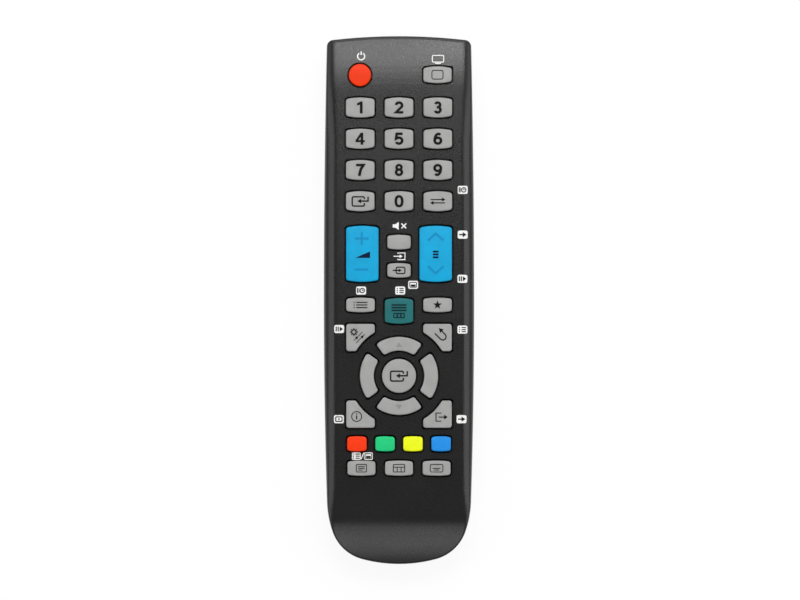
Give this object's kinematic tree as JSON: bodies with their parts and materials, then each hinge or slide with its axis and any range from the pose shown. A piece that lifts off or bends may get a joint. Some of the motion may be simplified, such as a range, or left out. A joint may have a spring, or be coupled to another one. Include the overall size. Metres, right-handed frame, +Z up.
{
  "type": "television remote control",
  "caption": "Handheld infrared remote control for a television: slim rounded handset with rubber number keys, a cursor ring, rocker keys and a sliding battery door.",
  "frame": {"origin": "on the surface it lies on, under the middle of its box", "axes": "+X across the handset to the right of the keys, +Y along it towards the infrared end, +Z up out of the key face"},
  "size_m": [0.0502, 0.1762, 0.0219],
  "materials": {
    "case_plastic": "fine spark-eroded matte",
    "board_laminate": "phenolic laminate with solder mask",
    "mat_silicone": "smooth silicone",
    "window_plastic": "polished dark infrared lens",
    "emitter_resin": "clear tinted resin",
    "chip_plastic": "moulded epoxy",
    "resonator_coat": "dipped lacquer",
    "capacitor_sleeve": "shrink sleeve",
    "chip_ceramic": "fired ceramic with tinned ends",
    "cell_jacket": "printed film over a metal can",
    "contact_nickel": "nickel-plated spring steel",
    "screw_steel": "zinc-plated steel",
    "key_rubber_grey": "satin silicone",
    "key_rubber_orange": "satin silicone",
    "key_rubber_sky": "satin silicone",
    "key_rubber_teal": "satin silicone",
    "key_rubber_red": "satin silicone",
    "key_rubber_green": "satin silicone",
    "key_rubber_yellow": "satin silicone",
    "key_rubber_blue": "satin silicone"
  },
  "bodies": {
    "housing": {"front_cover": "case_plastic", "rear_cover": "case_plastic", "circuit_board": "board_laminate", "keypad_mat": "mat_silicone", "ir_window": "window_plastic", "ir_led": "emitter_resin", "controller_chip": "chip_plastic", "resonator": "resonator_coat", "electrolytic_capacitor": "capacitor_sleeve", "drive_transistor": "chip_plastic", "chip_passives": "chip_ceramic", "battery_left": "cell_jacket", "battery_right": "cell_jacket", "contact_positive": "contact_nickel", "contact_negative": "contact_nickel", "contact_bridge": "contact_nickel", "case_screw": "screw_steel"},
    "battery_door": {"battery_door": "case_plastic"},
    "rocker_volume": {"rocker_volume": "key_rubber_sky"},
    "rocker_programme": {"rocker_programme": "key_rubber_sky"},
    "key_power": {"key_power": "key_rubber_orange"},
    "key_tv": {"key_tv": "key_rubber_grey"},
    "key_1": {"key_1": "key_rubber_grey"},
    "key_2": {"key_2": "key_rubber_grey"},
    "key_3": {"key_3": "key_rubber_grey"},
    "key_4": {"key_4": "key_rubber_grey"},
    "key_5": {"key_5": "key_rubber_grey"},
    "key_6": {"key_6": "key_rubber_grey"},
    "key_7": {"key_7": "key_rubber_grey"},
    "key_8": {"key_8": "key_rubber_grey"},
    "key_9": {"key_9": "key_rubber_grey"},
    "key_enter": {"key_enter": "key_rubber_grey"},
    "key_0": {"key_0": "key_rubber_grey"},
    "key_previous": {"key_previous": "key_rubber_grey"},
    "key_mute": {"key_mute": "key_rubber_grey"},
    "key_source": {"key_source": "key_rubber_grey"},
    "key_channel_list": {"key_channel_list": "key_rubber_grey"},
    "key_menu": {"key_menu": "key_rubber_teal"},
    "key_favourites": {"key_favourites": "key_rubber_grey"},
    "key_tools": {"key_tools": "key_rubber_grey"},
    "key_return": {"key_return": "key_rubber_grey"},
    "key_info": {"key_info": "key_rubber_grey"},
    "key_exit": {"key_exit": "key_rubber_grey"},
    "key_up": {"key_up": "key_rubber_grey"},
    "key_left": {"key_left": "key_rubber_grey"},
    "key_down": {"key_down": "key_rubber_grey"},
    "key_right": {"key_right": "key_rubber_grey"},
    "key_ok": {"key_ok": "key_rubber_grey"},
    "key_red": {"key_red": "key_rubber_red"},
    "key_green": {"key_green": "key_rubber_green"},
    "key_yellow": {"key_yellow": "key_rubber_yellow"},
    "key_blue": {"key_blue": "key_rubber_blue"},
    "key_teletext": {"key_teletext": "key_rubber_grey"},
    "key_guide": {"key_guide": "key_rubber_grey"},
    "key_subtitle": {"key_subtitle": "key_rubber_grey"}
  },
  "joints": [
    {"name": "door_slide", "type": "slide", "parent": "housing", "child": "battery_door", "axis": [0, -1, 0], "range_m": [0, 0.065]},
    {"name": "volume_tip", "type": "hinge", "parent": "housing", "child": "rocker_volume", "pos_m": [-0.0122, 0.0154, 0.01808], "axis": [1, 0, 0], "range_deg": [-5.4, 5.4], "stiffness_Nm_per_rad": 0.067},
    {"name": "programme_tip", "type": "hinge", "parent": "housing", "child": "rocker_programme", "pos_m": [0.0122, 0.0154, 0.01808], "axis": [1, 0, 0], "range_deg": [-5.4, 5.4], "stiffness_Nm_per_rad": 0.067},
    {"name": "press_power", "type": "slide", "parent": "housing", "child": "key_power", "axis": [0, 0, -1], "range_m": [0, 0.00095], "stiffness_N_per_m": 1200},
    {"name": "press_tv", "type": "slide", "parent": "housing", "child": "key_tv", "axis": [0, 0, -1], "range_m": [0, 0.00095], "stiffness_N_per_m": 1200},
    {"name": "press_1", "type": "slide", "parent": "housing", "child": "key_1", "axis": [0, 0, -1], "range_m": [0, 0.00095], "stiffness_N_per_m": 1200},
    {"name": "press_2", "type": "slide", "parent": "housing", "child": "key_2", "axis": [0, 0, -1], "range_m": [0, 0.00095], "stiffness_N_per_m": 1200},
    {"name": "press_3", "type": "slide", "parent": "housing", "child": "key_3", "axis": [0, 0, -1], "range_m": [0, 0.00095], "stiffness_N_per_m": 1200},
    {"name": "press_4", "type": "slide", "parent": "housing", "child": "key_4", "axis": [0, 0, -1], "range_m": [0, 0.00095], "stiffness_N_per_m": 1200},
    {"name": "press_5", "type": "slide", "parent": "housing", "child": "key_5", "axis": [0, 0, -1], "range_m": [0, 0.00095], "stiffness_N_per_m": 1200},
    {"name": "press_6", "type": "slide", "parent": "housing", "child": "key_6", "axis": [0, 0, -1], "range_m": [0, 0.00095], "stiffness_N_per_m": 1200},
    {"name": "press_7", "type": "slide", "parent": "housing", "child": "key_7", "axis": [0, 0, -1], "range_m": [0, 0.00095], "stiffness_N_per_m": 1200},
    {"name": "press_8", "type": "slide", "parent": "housing", "child": "key_8", "axis": [0, 0, -1], "range_m": [0, 0.00095], "stiffness_N_per_m": 1200},
    {"name": "press_9", "type": "slide", "parent": "housing", "child": "key_9", "axis": [0, 0, -1], "range_m": [0, 0.00095], "stiffness_N_per_m": 1200},
    {"name": "press_enter", "type": "slide", "parent": "housing", "child": "key_enter", "axis": [0, 0, -1], "range_m": [0, 0.00095], "stiffness_N_per_m": 1200},
    {"name": "press_0", "type": "slide", "parent": "housing", "child": "key_0", "axis": [0, 0, -1], "range_m": [0, 0.00095], "stiffness_N_per_m": 1200},
    {"name": "press_previous", "type": "slide", "parent": "housing", "child": "key_previous", "axis": [0, 0, -1], "range_m": [0, 0.00095], "stiffness_N_per_m": 1200},
    {"name": "press_mute", "type": "slide", "parent": "housing", "child": "key_mute", "axis": [0, 0, -1], "range_m": [0, 0.00095], "stiffness_N_per_m": 1200},
    {"name": "press_source", "type": "slide", "parent": "housing", "child": "key_source", "axis": [0, 0, -1], "range_m": [0, 0.00095], "stiffness_N_per_m": 1200},
    {"name": "press_channel_list", "type": "slide", "parent": "housing", "child": "key_channel_list", "axis": [0, 0, -1], "range_m": [0, 0.00095], "stiffness_N_per_m": 1200},
    {"name": "press_menu", "type": "slide", "parent": "housing", "child": "key_menu", "axis": [0, 0, -1], "range_m": [0, 0.00095], "stiffness_N_per_m": 1200},
    {"name": "press_favourites", "type": "slide", "parent": "housing", "child": "key_favourites", "axis": [0, 0, -1], "range_m": [0, 0.00095], "stiffness_N_per_m": 1200},
    {"name": "press_tools", "type": "slide", "parent": "housing", "child": "key_tools", "axis": [0, 0, -1], "range_m": [0, 0.00095], "stiffness_N_per_m": 1200},
    {"name": "press_return", "type": "slide", "parent": "housing", "child": "key_return", "axis": [0, 0, -1], "range_m": [0, 0.00095], "stiffness_N_per_m": 1200},
    {"name": "press_info", "type": "slide", "parent": "housing", "child": "key_info", "axis": [0, 0, -1], "range_m": [0, 0.00095], "stiffness_N_per_m": 1200},
    {"name": "press_exit", "type": "slide", "parent": "housing", "child": "key_exit", "axis": [0, 0, -1], "range_m": [0, 0.00095], "stiffness_N_per_m": 1200},
    {"name": "press_up", "type": "slide", "parent": "housing", "child": "key_up", "axis": [0, 0, -1], "range_m": [0, 0.00095], "stiffness_N_per_m": 1200},
    {"name": "press_left", "type": "slide", "parent": "housing", "child": "key_left", "axis": [0, 0, -1], "range_m": [0, 0.00095], "stiffness_N_per_m": 1200},
    {"name": "press_down", "type": "slide", "parent": "housing", "child": "key_down", "axis": [0, 0, -1], "range_m": [0, 0.00095], "stiffness_N_per_m": 1200},
    {"name": "press_right", "type": "slide", "parent": "housing", "child": "key_right", "axis": [0, 0, -1], "range_m": [0, 0.00095], "stiffness_N_per_m": 1200},
    {"name": "press_ok", "type": "slide", "parent": "housing", "child": "key_ok", "axis": [0, 0, -1], "range_m": [0, 0.00095], "stiffness_N_per_m": 1200},
    {"name": "press_red", "type": "slide", "parent": "housing", "child": "key_red", "axis": [0, 0, -1], "range_m": [0, 0.00095], "stiffness_N_per_m": 1200},
    {"name": "press_green", "type": "slide", "parent": "housing", "child": "key_green", "axis": [0, 0, -1], "range_m": [0, 0.00095], "stiffness_N_per_m": 1200},
    {"name": "press_yellow", "type": "slide", "parent": "housing", "child": "key_yellow", "axis": [0, 0, -1], "range_m": [0, 0.00095], "stiffness_N_per_m": 1200},
    {"name": "press_blue", "type": "slide", "parent": "housing", "child": "key_blue", "axis": [0, 0, -1], "range_m": [0, 0.00095], "stiffness_N_per_m": 1200},
    {"name": "press_teletext", "type": "slide", "parent": "housing", "child": "key_teletext", "axis": [0, 0, -1], "range_m": [0, 0.00095], "stiffness_N_per_m": 1200},
    {"name": "press_guide", "type": "slide", "parent": "housing", "child": "key_guide", "axis": [0, 0, -1], "range_m": [0, 0.00095], "stiffness_N_per_m": 1200},
    {"name": "press_subtitle", "type": "slide", "parent": "housing", "child": "key_subtitle", "axis": [0, 0, -1], "range_m": [0, 0.00095], "stiffness_N_per_m": 1200}
  ]
}
